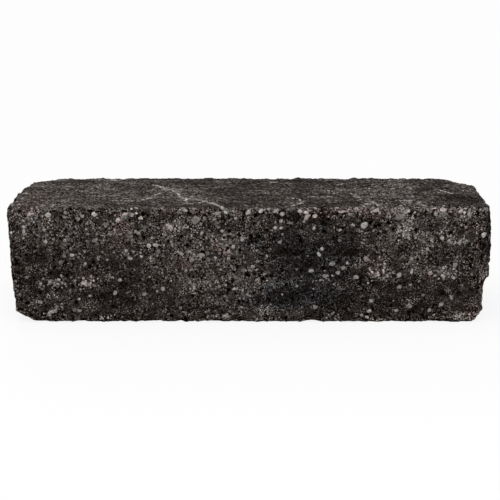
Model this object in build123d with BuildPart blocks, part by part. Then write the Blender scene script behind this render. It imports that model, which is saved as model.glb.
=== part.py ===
from build123d import *
import os
from math import sin, sqrt

# A concrete edging block, pressed in one piece and tumbled once it had set, so that its ends are
# worn, its corners are knocked off and its edges are rounded and chipped. It lies along X on its
# bed, with the face side towards -Y. The origin is the middle of the bed.

# Size of the block as pressed, in millimetres
length = 600.0
width = 150.0
height = 150.0

# Slants worn into the ends: how far the rim comes in, and over what height
right_top_inset = 5.0
right_top_rise = 46.0
left_foot_inset = 3.0
left_foot_rise = 62.0

# Upright edges worn flat: how far along the length and across the width
front_left_upright = (7.0, 6.0)
front_right_upright = (14.0, 12.0)
back_right_upright = (9.0, 8.0)

# Knocked-off corners: how far each break runs along the length, across the width and up the height.
# The break on the back left shoulder runs down to a little above the bed.
shoulder_foot = 38.0
back_left_top = (54.0, 31.0, 40.0)
back_left_shoulder = (18.0, 66.0, height - shoulder_foot)
back_right_top = (49.0, 46.0, 58.0)
front_left_top = (14.0, 12.0, 11.0)
front_right_top = (24.0, 20.0, 16.0)
front_left_foot = (30.0, 42.0, 17.0)
front_right_foot = (20.0, 44.0, 26.0)
back_left_foot = (26.0, 36.0, 30.0)
back_right_foot = (34.0, 24.0, 22.0)

# Radius that tumbling gives to every edge
worn_radius = 4.0

# Chips along the edges: round scoops, as stone breaks
chip_radius = 44.0
chip_radius_spread = 24.0
chip_pitch = 44.0
chip_bite = 3.2
chip_wander = 15.0
chip_lean = 0.35
chip_turn = 2.4

# Hollows in the long faces, where stones have been knocked out: shallow round scoops in wandering rows
hollow_radius = 12.0
hollow_radius_spread = 4.0
hollow_bite = 2.8
hollow_pitch = 62.0
hollow_margin = 26.0
hollow_wander = 11.0
hollow_turn = 1.7

# Spall low on the right end, where a shell of stone has come away beside the front upright edge
spall_radius = 46.0
spall_bite = 13.0
spall_rise = 27.0
spall_setback = 14.0
spall_lean = 0.3

half_length = length / 2
half_width = width / 2
LEFT, RIGHT, FRONT, BACK, BED, TOP = -1, 1, -1, 1, -1, 1


def corner_point(side, face, level):
    """The sharp corner that the block had before it was tumbled."""
    return Vector(side * half_length, face * half_width, height if level == TOP else 0)


def wear_plane(side, face, level, along, across, up):
    """The plane of a worn place, from its reach along each edge. An endless reach is None."""
    outward = Vector(
        side / along if along else 0,
        face / across if across else 0,
        level / up if up else 0,
    )
    foot = corner_point(side, face, level) - Vector(side * along, 0, 0)
    return Plane(origin=foot, z_dir=outward)


def edge_chips(start, end, first_out, second_out, phase):
    """Centres and radii of the scoops that nibble the edge where two faces meet."""
    run = end - start
    count = int(run.length // chip_pitch)
    worn_away = worn_radius * (sqrt(2) - 1)
    chips = []
    for index in range(count):
        swing = sin(phase + chip_turn * index)
        counter_swing = sin(2 * phase + chip_turn**2 * index)
        place = (index + 0.5) * run.length / count + chip_wander * counter_swing
        radius = chip_radius + chip_radius_spread * counter_swing
        lean = chip_lean * swing * counter_swing
        outward = first_out * (1 + lean) + second_out * (1 - lean)
        bite = chip_bite * (1 + swing) / 2
        depth = radius - worn_away - bite
        centre = start + run.normalized() * place + outward.normalized() * depth
        chips.append((centre, radius))
    return chips


def face_hollows(middle, outward, run, rise, phase):
    """Centres and radii of the scoops knocked out of an upright face of a given run and rise."""
    upward = Vector(0, 0, 1)
    sideways = upward.cross(outward)
    columns = int((run - 2 * hollow_margin) // hollow_pitch) + 1
    rows = int((rise - 2 * hollow_margin) // hollow_pitch) + 1
    hollows = []
    for index in range(columns * rows):
        swing = sin(phase + hollow_turn * index)
        counter_swing = sin(2 * phase + hollow_turn**2 * index)
        along = hollow_pitch * (index % columns - (columns - 1) / 2) + hollow_wander * swing
        up = hollow_pitch * (index // columns - (rows - 1) / 2) + hollow_wander * counter_swing
        radius = hollow_radius + hollow_radius_spread * counter_swing
        bite = hollow_bite * (2 + swing) / 3
        centre = middle + sideways * along + upward * up + outward * (radius - bite)
        hollows.append((centre, radius))
    return hollows


with BuildPart() as edging_block:
    Box(length, width, height, align=(Align.CENTER, Align.CENTER, Align.MIN))

    # The worn ends, the worn upright edges and the knocked-off corners
    for wear in (
        (RIGHT, FRONT, TOP, right_top_inset, None, right_top_rise),
        (LEFT, FRONT, BED, left_foot_inset, None, left_foot_rise),
        (LEFT, FRONT, BED, *front_left_upright, None),
        (RIGHT, FRONT, BED, *front_right_upright, None),
        (RIGHT, BACK, BED, *back_right_upright, None),
        (LEFT, BACK, TOP, *back_left_top),
        (LEFT, BACK, TOP, *back_left_shoulder),
        (RIGHT, BACK, TOP, *back_right_top),
        (LEFT, FRONT, TOP, *front_left_top),
        (RIGHT, FRONT, TOP, *front_right_top),
        (LEFT, FRONT, BED, *front_left_foot),
        (RIGHT, FRONT, BED, *front_right_foot),
        (LEFT, BACK, BED, *back_left_foot),
        (RIGHT, BACK, BED, *back_right_foot),
    ):
        split(bisect_by=wear_plane(*wear), keep=Keep.BOTTOM)

    # The rounding of all edges
    fillet(edging_block.edges(), worn_radius)

    # The chips along the long edges and the edges of the ends
    chips = []
    for level in (BED, TOP):
        upright = Vector(0, 0, level)
        for face in (FRONT, BACK):
            start = corner_point(LEFT, face, level)
            end = corner_point(RIGHT, face, level)
            chips += edge_chips(start, end, Vector(0, face, 0), upright, 2 * face + 3 * level)
        for side in (LEFT, RIGHT):
            start = corner_point(side, FRONT, level)
            end = corner_point(side, BACK, level)
            chips += edge_chips(start, end, Vector(side, 0, 0), upright, side + 5 * level)

    # The hollows in the long faces
    hollows = []
    for face in (FRONT, BACK):
        middle = Vector(0, face * half_width, height / 2)
        hollows += face_hollows(middle, Vector(0, face, 0), length, height, 2 * face)
    for centre, radius in chips + hollows:
        with Locations(centre):
            Sphere(radius, mode=Mode.SUBTRACT)

    # The spall
    spall_middle = corner_point(RIGHT, FRONT, BED) + Vector(0, spall_setback, spall_rise)
    spall_outward = Vector(RIGHT, FRONT * spall_lean, 0).normalized()
    with Locations(spall_middle + spall_outward * (spall_radius - spall_bite)):
        Sphere(spall_radius, mode=Mode.SUBTRACT)

edging_block.part.label = "edging_block"

os.makedirs("parts", exist_ok=True)
export_step(edging_block.part, "parts/edging_block.step")
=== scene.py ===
import logging
import math
from dataclasses import dataclass, field
from enum import Enum
from functools import reduce

import bmesh
import bpy
import numpy as np
from mathutils import Matrix, Vector, noise
from mathutils.bvhtree import BVHTree
from mathutils.kdtree import KDTree


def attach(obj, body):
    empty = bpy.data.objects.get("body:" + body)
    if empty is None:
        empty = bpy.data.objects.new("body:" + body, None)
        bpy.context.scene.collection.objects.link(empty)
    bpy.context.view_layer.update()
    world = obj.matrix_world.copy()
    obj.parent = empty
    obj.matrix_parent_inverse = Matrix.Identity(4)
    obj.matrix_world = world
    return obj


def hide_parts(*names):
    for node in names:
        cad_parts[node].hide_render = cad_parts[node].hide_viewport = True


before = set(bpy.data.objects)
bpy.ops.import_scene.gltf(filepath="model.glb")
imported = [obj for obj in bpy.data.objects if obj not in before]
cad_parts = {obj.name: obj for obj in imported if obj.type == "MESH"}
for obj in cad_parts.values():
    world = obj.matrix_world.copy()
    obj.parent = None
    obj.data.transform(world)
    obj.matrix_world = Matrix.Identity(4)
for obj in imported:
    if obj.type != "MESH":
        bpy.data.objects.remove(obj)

# Dresses the edging block as tumbled dark concrete: a pitted, chipped block with stones of the mix
# showing in its faces, on a plain white studio floor. Lengths are in metres, by way of MM.

LOG = logging.getLogger("edging_block")
MM = 0.001
IMAGE_SIDE = 500
SENSOR = 36.0

Colour = tuple[float, float, float]
Lengths = tuple[float, float, float]
Pixel = tuple[float, float]
Span = tuple[float, float]
Socket = bpy.types.NodeSocket
Feed = Socket | float | Colour


class Mark(Enum):
    """A quantity painted on the block, by the name of its mesh attribute."""

    PALE = "pale_grains"
    # Darker patches of the mix, and painted shade in the hollows.
    DARK = "dark_mix"
    RUST = "rusty_stain"
    WORN = "worn_edge"
    PRESSED = "pressed_skin"
    # Darkness in the pores, partly dust and partly painted shade, and painted shadow under overhanging edges.
    PORE = "open_pore"
    POROUS = "porous_mix"
    SCRATCH = "scratch"
    SMOKE = "cool_smoke"


class StoneTint(Enum):
    """The colours of the stones in the mix, as linear red, green and blue."""

    CHALK = (0.266, 0.253, 0.244)
    ASH = (0.194, 0.181, 0.173)
    BEIGE = (0.255, 0.230, 0.208)
    ROSE = (0.290, 0.248, 0.235)
    SLATE = (0.142, 0.128, 0.121)


CHALK, ASH, BEIGE, ROSE, SLATE = StoneTint


@dataclass(frozen=True)
class Patch:
    """A soft-edged patch of a mark, placed by the pixel of the photograph that shows its middle.

    Its reach is in millimetres along the block, and up its face or back over its top.
    """

    pixel: Pixel
    reach: Span
    strength: float
    tilt: float = 0.0


@dataclass(frozen=True)
class Scratch:
    """A pale scratch on the pressed top, through pixels of the photograph."""

    pixels: tuple[Pixel, ...]
    strength: float


@dataclass(frozen=True)
class Stone:
    """A stone that stands out, placed by a pixel. Its length and breadth are in millimetres."""

    pixel: Pixel
    length: float
    breadth: float
    tint: StoneTint
    tilt: float = 0.0


@dataclass(frozen=True)
class Crowd:
    """A crowd of small stones round a pixel. Its spread along its tilt and across is in pixels."""

    pixel: Pixel
    spread: Span
    count: int
    tint: StoneTint
    tilt: float = 0.0


PATCHES: dict[Mark, tuple[Patch, ...]] = {
    Mark.DARK: (
        Patch((312, 262), (66, 74), 0.75),
        Patch((253, 241), (17, 8), 0.9),
        Patch((290, 256), (34, 40), 0.6),
        Patch((268, 299), (30, 9), 0.8, 10),
        Patch((312, 294), (50, 34), 1.0),
        Patch((32, 270), (20, 56), 0.6),
        Patch((82, 262), (80, 90), 0.4),
        Patch((120, 292), (40, 18), 0.35),
        Patch((350, 244), (16, 26), 0.6),
        Patch((335, 303), (60, 26), 0.7),
        Patch((372, 290), (46, 38), 1.0),
        Patch((428, 228), (14, 10), 0.5),
        Patch((464, 250), (26, 22), 0.45),
        Patch((462, 285), (24, 22), 0.4),
        Patch((250, 306), (330, 40), 0.25),
        Patch((415, 294), (90, 34), 0.55),
        Patch((425, 250), (120, 80), 0.15),
        Patch((85, 209), (44, 7), 0.5),
        Patch((280, 192), (95, 70), 0.2),
        Patch((436, 190), (46, 60), 0.12),
    ),
    Mark.PALE: (
        Patch((90, 236), (60, 30), 0.35),
        Patch((200, 236), (70, 34), 0.35),
        Patch((225, 282), (66, 40), 0.5),
        Patch((86, 282), (16, 9), 0.8, 10),
        Patch((52, 283), (20, 8), 0.5),
        Patch((35, 222), (20, 14), 0.45),
        Patch((124, 215), (12, 8), 0.7),
        Patch((385, 273), (20, 11), 0.8, -30),
        Patch((445, 273), (16, 8), 0.8),
        Patch((400, 219), (26, 16), 0.7, -35),
        Patch((424, 236), (18, 8), 0.9, -25),
        Patch((374, 204), (22, 14), 1.0),
        Patch((414, 203), (22, 14), 0.9),
        Patch((400, 217), (12, 8), 0.9),
        Patch((398, 208), (60, 10), 0.5),
        Patch((435, 210), (24, 7), 0.8),
        Patch((470, 212), (28, 14), 0.8),
        Patch((270, 210), (30, 5), 0.3),
        Patch((309, 211), (18, 6), 0.6),
        Patch((36, 208), (28, 8), 0.45),
        Patch((366, 209), (30, 8), 0.5),
        Patch((456, 240), (24, 8), 0.6),
        Patch((54, 309), (18, 6), 0.6, 35),
        Patch((332, 316), (14, 5), 0.7),
        Patch((462, 316), (20, 6), 0.6),
        Patch((175, 193), (50, 50), 0.1),
        Patch((82, 190), (40, 50), 0.25),
        Patch((384, 190), (44, 60), 0.55),
    ),
    Mark.PRESSED: (
        Patch((376, 204), (46, 26), -0.9),
        Patch((416, 203), (40, 22), -0.8),
        Patch((464, 204), (46, 30), -0.8),
        Patch((205, 206), (40, 14), -0.7),
        Patch((300, 207), (30, 10), -0.6),
    ),
    Mark.POROUS: (
        Patch((215, 240), (90, 50), 0.9),
        Patch((235, 275), (70, 50), 0.7),
        Patch((60, 240), (50, 30), 0.4),
        Patch((400, 225), (50, 20), 0.5),
    ),
    Mark.RUST: (
        Patch((121, 229), (16, 20), 0.7),
        Patch((183, 265), (16, 14), 0.7),
        Patch((221, 249), (9, 7), 0.8),
        Patch((373, 213), (18, 12), 0.7),
        Patch((314, 215), (14, 9), 0.9),
        Patch((375, 266), (16, 12), 0.5),
        Patch((86, 280), (12, 9), 0.5),
        Patch((350, 208), (30, 10), 0.5),
        Patch((430, 275), (14, 8), 0.5),
        Patch((468, 312), (12, 9), 0.6),
        Patch((32, 206), (22, 60), 0.25),
    ),
    Mark.SMOKE: (
        Patch((308, 264), (62, 66), 0.9),
        Patch((288, 298), (70, 22), 0.8),
        Patch((253, 241), (20, 10), 0.8),
    ),
}

SCRATCHES = (
    Scratch(((158, 186), (176, 192), (182, 198), (200, 200), (212, 203), (223, 208)), 1.0),
    Scratch(((182, 198), (190, 204), (205, 202), (215, 205)), 0.7),
    Scratch(((139, 201), (150, 198), (160, 193)), 0.7),
    Scratch(((153, 185), (165, 188)), 0.8),
    Scratch(((288, 198), (299, 199), (303, 204)), 0.9),
    Scratch(((291, 206), (299, 204), (304, 201)), 0.7),
    Scratch(((308, 197), (334, 197)), 0.8),
    Scratch(((93, 196), (112, 196)), 0.6),
    Scratch(((121, 201), (133, 201)), 0.7),
    Scratch(((440, 190), (453, 194)), 0.8),
    Scratch(((350, 193), (358, 198), (364, 201)), 0.7),
    Scratch(((366, 188), (371, 189)), 0.9),
    Scratch(((462, 191), (474, 190)), 0.9),
    Scratch(((268, 183), (278, 182)), 0.5),
    Scratch(((12, 205), (26, 204)), 0.8),
    Scratch(((336, 185), (356, 182)), 0.5),
)

STONES = (
    Stone((48, 215), 7.2, 6.6, CHALK, 20),
    Stone((94, 214), 6.8, 5.8, CHALK),
    Stone((118, 220), 6.4, 5.2, ROSE, 70),
    Stone((125, 214), 6.0, 4.0, ROSE, 20),
    Stone((141, 218), 6.2, 5.4, BEIGE),
    Stone((169, 227), 11.0, 6.0, ROSE, -38),
    Stone((149, 245), 7.0, 5.8, CHALK, -20),
    Stone((72, 255), 5.2, 5.0, CHALK),
    Stone((64, 256), 4.8, 4.6, SLATE),
    Stone((95, 240), 7.2, 4.6, SLATE, 30),
    Stone((126, 251), 5.0, 4.6, ASH),
    Stone((130, 258), 6.2, 4.8, ASH, -10),
    Stone((138, 233), 6.4, 5.2, SLATE),
    Stone((130, 233), 5.2, 4.6, SLATE, 60),
    Stone((105, 224), 8.0, 4.2, SLATE, 10),
    Stone((24, 232), 8.5, 4.2, ASH, 85),
    Stone((50, 282), 5.6, 4.8, ASH, 60),
    Stone((84, 283), 7.0, 5.6, ROSE, 20),
    Stone((115, 293), 7.0, 4.2, CHALK, 60),
    Stone((144, 294), 7.2, 4.2, ASH, 25),
    Stone((163, 289), 5.8, 5.0, ASH),
    Stone((90, 296), 3.6, 3.2, CHALK),
    Stone((79, 299), 3.8, 3.0, CHALK, 70),
    Stone((40, 302), 6.2, 4.4, ASH, -30),
    Stone((120, 280), 4.8, 4.4, ASH),
    Stone((85, 264), 4.4, 3.4, CHALK, 70),
    Stone((202, 233), 5.0, 3.8, ASH, 60),
    Stone((222, 231), 5.0, 4.4, ASH),
    Stone((242, 239), 5.8, 4.8, ASH, 60),
    Stone((201, 255), 8.0, 6.0, ASH),
    Stone((192, 260), 6.4, 6.0, SLATE),
    Stone((275, 228), 5.2, 4.4, CHALK),
    Stone((281, 228), 5.0, 3.2, CHALK, 20),
    Stone((281, 221), 5.0, 4.2, ASH, 60),
    Stone((307, 217), 10.0, 5.6, ROSE, 40),
    Stone((307, 212), 10.5, 4.6, ROSE, 15),
    Stone((300, 211), 6.0, 4.8, ROSE),
    Stone((314, 228), 5.2, 4.2, ASH, 70),
    Stone((280, 242), 5.2, 4.2, ASH, 40),
    Stone((319, 254), 6.0, 4.4, CHALK, -60),
    Stone((322, 249), 5.2, 4.8, ASH, 40),
    Stone((311, 271), 6.6, 4.6, ASH),
    Stone((325, 276), 5.8, 4.8, ASH, -10),
    Stone((297, 286), 4.6, 3.8, ASH, 70),
    Stone((234, 289), 4.0, 3.2, CHALK, 20),
    Stone((253, 266), 5.0, 4.8, ASH),
    Stone((265, 274), 6.0, 3.2, ASH, 30),
    Stone((315, 307), 6.4, 5.6, SLATE, 20),
    Stone((226, 316), 8.0, 5.2, BEIGE),
    Stone((364, 225), 9.4, 8.2, CHALK, 20),
    Stone((353, 225), 4.8, 4.2, ASH),
    Stone((443, 210), 8.2, 6.4, ROSE, 10),
    Stone((442, 238), 5.6, 5.4, CHALK),
    Stone((450, 242), 6.0, 4.6, ASH, -10),
    Stone((460, 242), 8.4, 5.0, ASH, 65),
    Stone((484, 235), 8.0, 6.6, CHALK, 10),
    Stone((366, 259), 7.6, 6.2, SLATE, 60),
    Stone((332, 264), 7.2, 5.6, ASH, -10),
    Stone((343, 268), 5.6, 4.4, ASH, 70),
    Stone((338, 273), 5.8, 5.0, ASH),
    Stone((347, 263), 3.4, 2.6, CHALK, 80),
    Stone((356, 277), 7.0, 6.0, ASH, -10),
    Stone((399, 275), 7.0, 6.0, ASH, 60),
    Stone((412, 271), 6.4, 3.6, CHALK, 80),
    Stone((399, 287), 6.8, 4.6, SLATE, 10),
    Stone((455, 265), 6.0, 5.6, ASH),
    Stone((430, 273), 5.8, 5.2, ROSE),
    Stone((443, 276), 7.0, 4.6, CHALK, -20),
    Stone((371, 301), 6.0, 5.2, ASH),
    Stone((369, 311), 5.4, 5.0, CHALK),
    Stone((367, 317), 6.0, 4.2, CHALK),
    Stone((396, 310), 6.6, 4.0, ASH),
    Stone((429, 310), 6.2, 4.4, ASH, 60),
    Stone((441, 304), 6.2, 5.0, ASH, -20),
    Stone((451, 297), 7.0, 3.6, ASH, -65),
    Stone((409, 306), 7.6, 6.2, SLATE),
    Stone((194, 209), 6.0, 4.4, ASH, 10),
    Stone((222, 208), 7.0, 4.6, ASH, -30),
    Stone((217, 213), 9.0, 4.6, ASH),
    Stone((226, 212), 6.4, 5.0, CHALK),
    Stone((237, 208), 12.0, 4.2, SLATE),
    Stone((248, 212), 6.4, 5.4, CHALK, 40),
    Stone((261, 211), 6.0, 4.8, CHALK, 30),
    Stone((270, 209), 8.0, 3.6, ASH, 10),
    Stone((275, 211), 6.0, 3.6, CHALK, 45),
    Stone((282, 214), 5.6, 5.0, ASH),
    Stone((195, 220), 11.0, 9.0, SLATE, 20),
    Stone((155, 209), 6.0, 4.2, SLATE, 20),
    Stone((136, 208), 6.0, 4.0, ASH),
    Stone((132, 215), 5.4, 4.4, ASH),
    Stone((315, 216), 6.0, 5.0, ROSE, 30),
    Stone((342, 211), 9.0, 4.4, ROSE, 5),
    Stone((337, 208), 6.0, 3.8, ASH),
    Stone((350, 214), 6.4, 4.0, SLATE, -15),
    Stone((357, 208), 6.4, 4.2, ASH),
    Stone((367, 204), 6.0, 5.0, ASH),
    Stone((373, 203), 7.0, 6.0, ASH, 20),
    Stone((380, 205), 6.0, 6.0, SLATE),
    Stone((376, 211), 9.0, 5.0, ROSE),
    Stone((401, 206), 5.0, 4.2, CHALK),
    Stone((410, 201), 7.0, 6.0, ASH),
    Stone((419, 203), 6.0, 5.0, ASH),
    Stone((425, 206), 7.4, 4.4, ASH),
    Stone((408, 211), 5.0, 4.4, CHALK),
    Stone((400, 217), 12.0, 8.0, SLATE, 10),
    Stone((435, 209), 8.4, 4.2, ROSE),
    Stone((436, 214), 6.0, 5.0, ASH),
    Stone((470, 214), 6.4, 5.0, ASH, 30),
    Stone((461, 211), 5.6, 4.6, ROSE),
    Stone((64, 217), 5.0, 4.4, SLATE),
    Stone((82, 216), 5.6, 4.6, ASH),
    Stone((30, 214), 6.0, 4.6, ROSE, 20),
)

CROWDS = (
    Crowd((380, 270), (9, 6), 18, ROSE, 35),
    Crowd((418, 236), (10, 3), 16, ASH, 25),
    Crowd((400, 230), (6, 3), 7, ASH),
    Crowd((445, 273), (5, 3), 11, CHALK),
    Crowd((465, 241), (8, 2), 10, ASH),
    Crowd((323, 280), (8, 5), 10, ASH),
    Crowd((334, 317), (5, 2), 8, ASH),
    Crowd((88, 281), (7, 4), 16, ROSE),
    Crowd((52, 283), (7, 3), 11, ASH),
    Crowd((70, 283), (5, 3), 6, ASH),
    Crowd((31, 216), (5, 4), 10, ASH),
    Crowd((25, 234), (2, 7), 7, ASH),
    Crowd((54, 309), (6, 2), 11, CHALK, -35),
    Crowd((106, 317), (5, 1), 8, ASH),
    Crowd((226, 315), (5, 2), 8, ASH),
    Crowd((464, 316), (9, 2), 14, ROSE),
    Crowd((124, 216), (7, 5), 10, ROSE),
    Crowd((374, 203), (10, 3), 16, ASH),
    Crowd((404, 213), (9, 6), 20, ASH, 30),
    Crowd((413, 203), (8, 3), 10, ASH),
    Crowd((138, 252), (9, 4), 9, ASH),
    Crowd((180, 262), (9, 5), 8, SLATE),
    Crowd((60, 230), (9, 5), 9, SLATE),
    Crowd((469, 210), (7, 3), 12, CHALK),
)


def ease(low: float, high: float, values: np.ndarray) -> np.ndarray:
    """Eases values from 0 at low to 1 at high, or the other way round if low is the higher."""
    share = np.clip((values - low) / (high - low), 0.0, 1.0)
    return share * share * (3.0 - 2.0 * share)


def mostly_low(draw: np.random.Generator, span: Span, power: float = 2.0) -> float:
    """A random length in a span, more often short than long."""
    return span[0] + (span[1] - span[0]) * draw.random() ** power


@dataclass(frozen=True)
class Waves:
    """A field of fractal noise: its widest waves, how often they halve, and a shift of its own."""

    length: float
    octaves: int
    shift: float

    def at(self, places: np.ndarray) -> np.ndarray:
        """The noise at each place, about -1 to 1."""
        scaled = places / self.length + self.shift
        return np.array([noise.fractal(point, 1.0, 2.0, self.octaves) for point in scaled.tolist()])


def add_object(name: str, data: bpy.types.ID) -> bpy.types.Object:
    """Puts a new object into the scene.

    Args:
        name: Its name.
        data: Its mesh, lamp or camera.

    Returns:
        The object.
    """
    made = bpy.data.objects.new(name, data)
    bpy.context.scene.collection.objects.link(made)
    return made


def mesh_of(shape: bmesh.types.BMesh, name: str) -> bpy.types.Mesh:
    """Makes a finished shape a mesh.

    Args:
        shape: The shape, freed here.
        name: The mesh's name.

    Returns:
        The mesh.
    """
    mesh = bpy.data.meshes.new(name)
    shape.to_mesh(mesh)
    shape.free()
    return mesh


def settle(piece: bpy.types.Object, kind: str, **settings: object) -> None:
    """Runs a modifier on a piece and keeps the result as its mesh.

    Args:
        piece: The piece.
        kind: The modifier's type.
        **settings: The modifier's settings.
    """
    modifier = piece.modifiers.new(kind.lower(), kind)
    for setting, value in settings.items():
        setattr(modifier, setting, value)
    bpy.context.view_layer.update()
    shown = piece.evaluated_get(bpy.context.evaluated_depsgraph_get())
    mesh = bpy.data.meshes.new_from_object(shown)
    piece.modifiers.clear()
    old = piece.data
    piece.data = mesh
    bpy.data.meshes.remove(old)
    mesh.name = piece.name


def read_vectors(mesh: bpy.types.Mesh, what: str) -> np.ndarray:
    """Reads a vector of every vertex.

    Args:
        mesh: The mesh.
        what: The vector's name, such as co or normal.

    Returns:
        One row for each vertex.
    """
    values = np.empty(len(mesh.vertices) * 3)
    mesh.vertices.foreach_get(what, values)
    return values.reshape(-1, 3)


@dataclass(frozen=True)
class PhotoCamera:
    """The camera that took the photograph, as far as the block's outline tells."""

    focal_pixels: float = 1058.2
    distance: float = 1388.8 * MM
    elevation: float = 18.68
    aim: Lengths = (-1.0 * MM, 0.0, 71.6 * MM)

    def turn(self) -> Matrix:
        """The camera's own axes in the row frame, as a rotation matrix."""
        return Matrix.Rotation(math.radians(90.0 - self.elevation), 3, "X")

    def place(self) -> Vector:
        """Where the camera stands."""
        return Vector(self.aim) + self.turn() @ Vector((0.0, 0.0, self.distance))

    def seen(self, search: BVHTree, pixel: Pixel) -> tuple[Vector | None, Vector | None]:
        """Finds what a pixel shows.

        Args:
            search: The search tree of the surface.
            pixel: Column and row in the photograph.

        Returns:
            The point of the surface and the way out there, or None for both where there is none.
        """
        across = (pixel[0] - IMAGE_SIDE / 2) / self.focal_pixels
        down = (pixel[1] - IMAGE_SIDE / 2) / self.focal_pixels
        sight = (self.turn() @ Vector((across, -down, -1.0))).normalized()
        point, outward, _, _ = search.ray_cast(self.place(), sight)
        return point, outward

    def build(self) -> bpy.types.Object:
        """Makes the camera and makes it the scene's own.

        Returns:
            The camera.
        """
        camera = add_object("photo_camera", bpy.data.cameras.new("photo_camera"))
        camera.data.sensor_width = SENSOR
        camera.data.lens = self.focal_pixels * SENSOR / IMAGE_SIDE
        camera.matrix_world = Matrix.Translation(self.place()) @ self.turn().to_4x4()
        bpy.context.scene.camera = camera
        return camera


class ShaderSheet:
    """A node tree, with a short call for each kind of node that the finishes use."""

    def __init__(self, owner: bpy.types.Material | bpy.types.World) -> None:
        """Starts with an empty tree.

        Args:
            owner: The material or the surroundings that the tree belongs to.
        """
        owner.use_nodes = True
        self.owner = owner
        self.tree = owner.node_tree
        self.tree.nodes.clear()

    def node(self, kind: str, feeds: dict[str | int, Feed], **settings: object) -> bpy.types.Node:
        """Adds a node.

        Args:
            kind: The node's type name, without its ShaderNode prefix.
            feeds: What goes into its sockets, by name or number.
            **settings: Its own settings.

        Returns:
            The new node.
        """
        made = self.tree.nodes.new("ShaderNode" + kind)
        for setting, value in settings.items():
            setattr(made, setting, value)
        for name, value in feeds.items():
            socket = made.inputs[name]
            if isinstance(value, Socket):
                self.tree.links.new(value, socket)
            else:
                socket.default_value = (*value, 1.0) if socket.type == "RGBA" else value
        return made

    def places(self) -> Socket:
        """The piece's own coordinates, in metres."""
        return self.node("TexCoord", {}).outputs["Object"]

    def mark(self, name: str) -> Socket:
        """A number painted on the mesh, by its attribute's name."""
        return self.node("Attribute", {}, attribute_name=name).outputs["Fac"]

    def math(self, operation: str, first: Feed, second: Feed, third: Feed = 0.0) -> Socket:
        """One step of arithmetic on two numbers, or on three."""
        return self.node("Math", {0: first, 1: second, 2: third}, operation=operation).outputs[0]

    def most(self, *values: Feed) -> Socket:
        """The greatest of several numbers."""
        return reduce(lambda held, value: self.math("MAXIMUM", held, value), values)

    def total(self, *parts: tuple[Feed, float]) -> Socket:
        """A sum of numbers, each given with its weight."""
        return reduce(lambda held, part: self.math("MULTIPLY_ADD", *part, held), parts, 0.0)

    def swing(self, *parts: tuple[Feed, float]) -> Socket:
        """A weighted sum of numbers about 0 to 1, shifted so that its middle is 0."""
        return self.total(*parts, (1.0, -0.5 * sum(weight for _, weight in parts)))

    def blend(self, share: Feed, first: Feed, second: Feed) -> Socket:
        """Goes from one number to another."""
        return self.node("Mix", {0: share, 2: first, 3: second}).outputs[0]

    def grey(self, level: Feed) -> Socket:
        """A number as a grey colour."""
        return self.node("CombineColor", {0: level, 1: level, 2: level}).outputs[0]

    def step(self, value: Feed, low: Feed, high: Feed) -> Socket:
        """Eases a number from 0 at low to 1 at high."""
        feeds = {"Value": value, "From Min": low, "From Max": high}
        return self.node("MapRange", feeds, interpolation_type="SMOOTHSTEP").outputs["Result"]

    def mix(self, share: Feed, first: Feed, second: Feed, blend: str = "MIX") -> Socket:
        """Blends two colours, by default from the first to the second."""
        feeds = {0: share, 6: first, 7: second}
        return self.node("Mix", feeds, data_type="RGBA", blend_type=blend).outputs[2]

    def shrunk(self, places: Feed, size: Lengths) -> Socket:
        """Coordinates counted in lengths of their own along each axis."""
        scale = tuple(1.0 / length for length in size)
        return self.node("Mapping", {"Vector": places, "Scale": scale}).outputs["Vector"]

    def clouds(self, places: Feed, size: float, detail: float, roughness: float = 0.55) -> Socket:
        """Soft noise, about 0 to 1: the size of its widest clouds, and how much finer detail it has."""
        feeds = {"Vector": places, "Scale": 1.0 / size, "Detail": detail, "Roughness": roughness}
        return self.node("TexNoise", feeds).outputs["Fac"]

    def jostled(self, places: Feed, size: float, reach: float) -> Socket:
        """Coordinates shaken a little, so that grains aren't straight-edged.

        Args:
            places: The coordinates.
            size: The size of the shaking's waves.
            reach: How far a point may move.

        Returns:
            The new coordinates' socket.
        """
        shake = self.node("TexNoise", {"Vector": places, "Scale": 1.0 / size, "Detail": 1.0})
        feeds = {0: shake.outputs["Color"], 1: (0.5, 0.5, 0.5)}
        centred = self.node("VectorMath", feeds, operation="SUBTRACT").outputs[0]
        scaled = self.node("VectorMath", {0: centred, "Scale": 2.0 * reach}, operation="SCALE").outputs[0]
        return self.node("VectorMath", {0: places, 1: scaled}, operation="ADD").outputs[0]

    def grains(self, places: Feed, size: float) -> tuple[Socket, Socket, Socket]:
        """Packed grains.

        Args:
            places: The coordinates.
            size: The grains' size.

        Returns:
            The distance from each grain's middle, in grains, and two random numbers for each grain.
        """
        cells = self.node("TexVoronoi", {"Vector": places, "Scale": 1.0 / size})
        split = self.node("SeparateColor", {"Color": cells.outputs["Color"]})
        return cells.outputs["Distance"], split.outputs["Red"], split.outputs["Green"]

    def in_sight(self) -> Socket:
        """1 where something is looked at, also in a reflection or through glass, and else 0."""
        path = self.node("LightPath", {}).outputs
        return self.most(path["Is Camera Ray"], path["Is Glossy Ray"], path["Is Transmission Ray"])

    def coat(self, colour: Feed, roughness: Feed, height: Feed, relief: float, shine: float) -> bpy.types.ID:
        """Ends the tree in a surface with a fine relief.

        Args:
            colour: Its colour.
            roughness: How rough it is.
            height: The relief's height, as a share.
            relief: The height that a share of 1 stands for.
            shine: How strongly it reflects.

        Returns:
            The finished material.
        """
        bump = self.node("Bump", {"Strength": 1.0, "Distance": relief, "Height": height})
        feeds = {
            "Base Color": colour,
            "Roughness": roughness,
            "Normal": bump.outputs[0],
            "Specular IOR Level": shine,
        }
        return self.finish(self.node("BsdfPrincipled", feeds).outputs[0])

    def finish(self, shader: Socket, output: str = "OutputMaterial") -> bpy.types.ID:
        """Ends the tree in its output, and gives back what the tree belongs to."""
        self.node(output, {"Surface": shader})
        return self.owner


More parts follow.
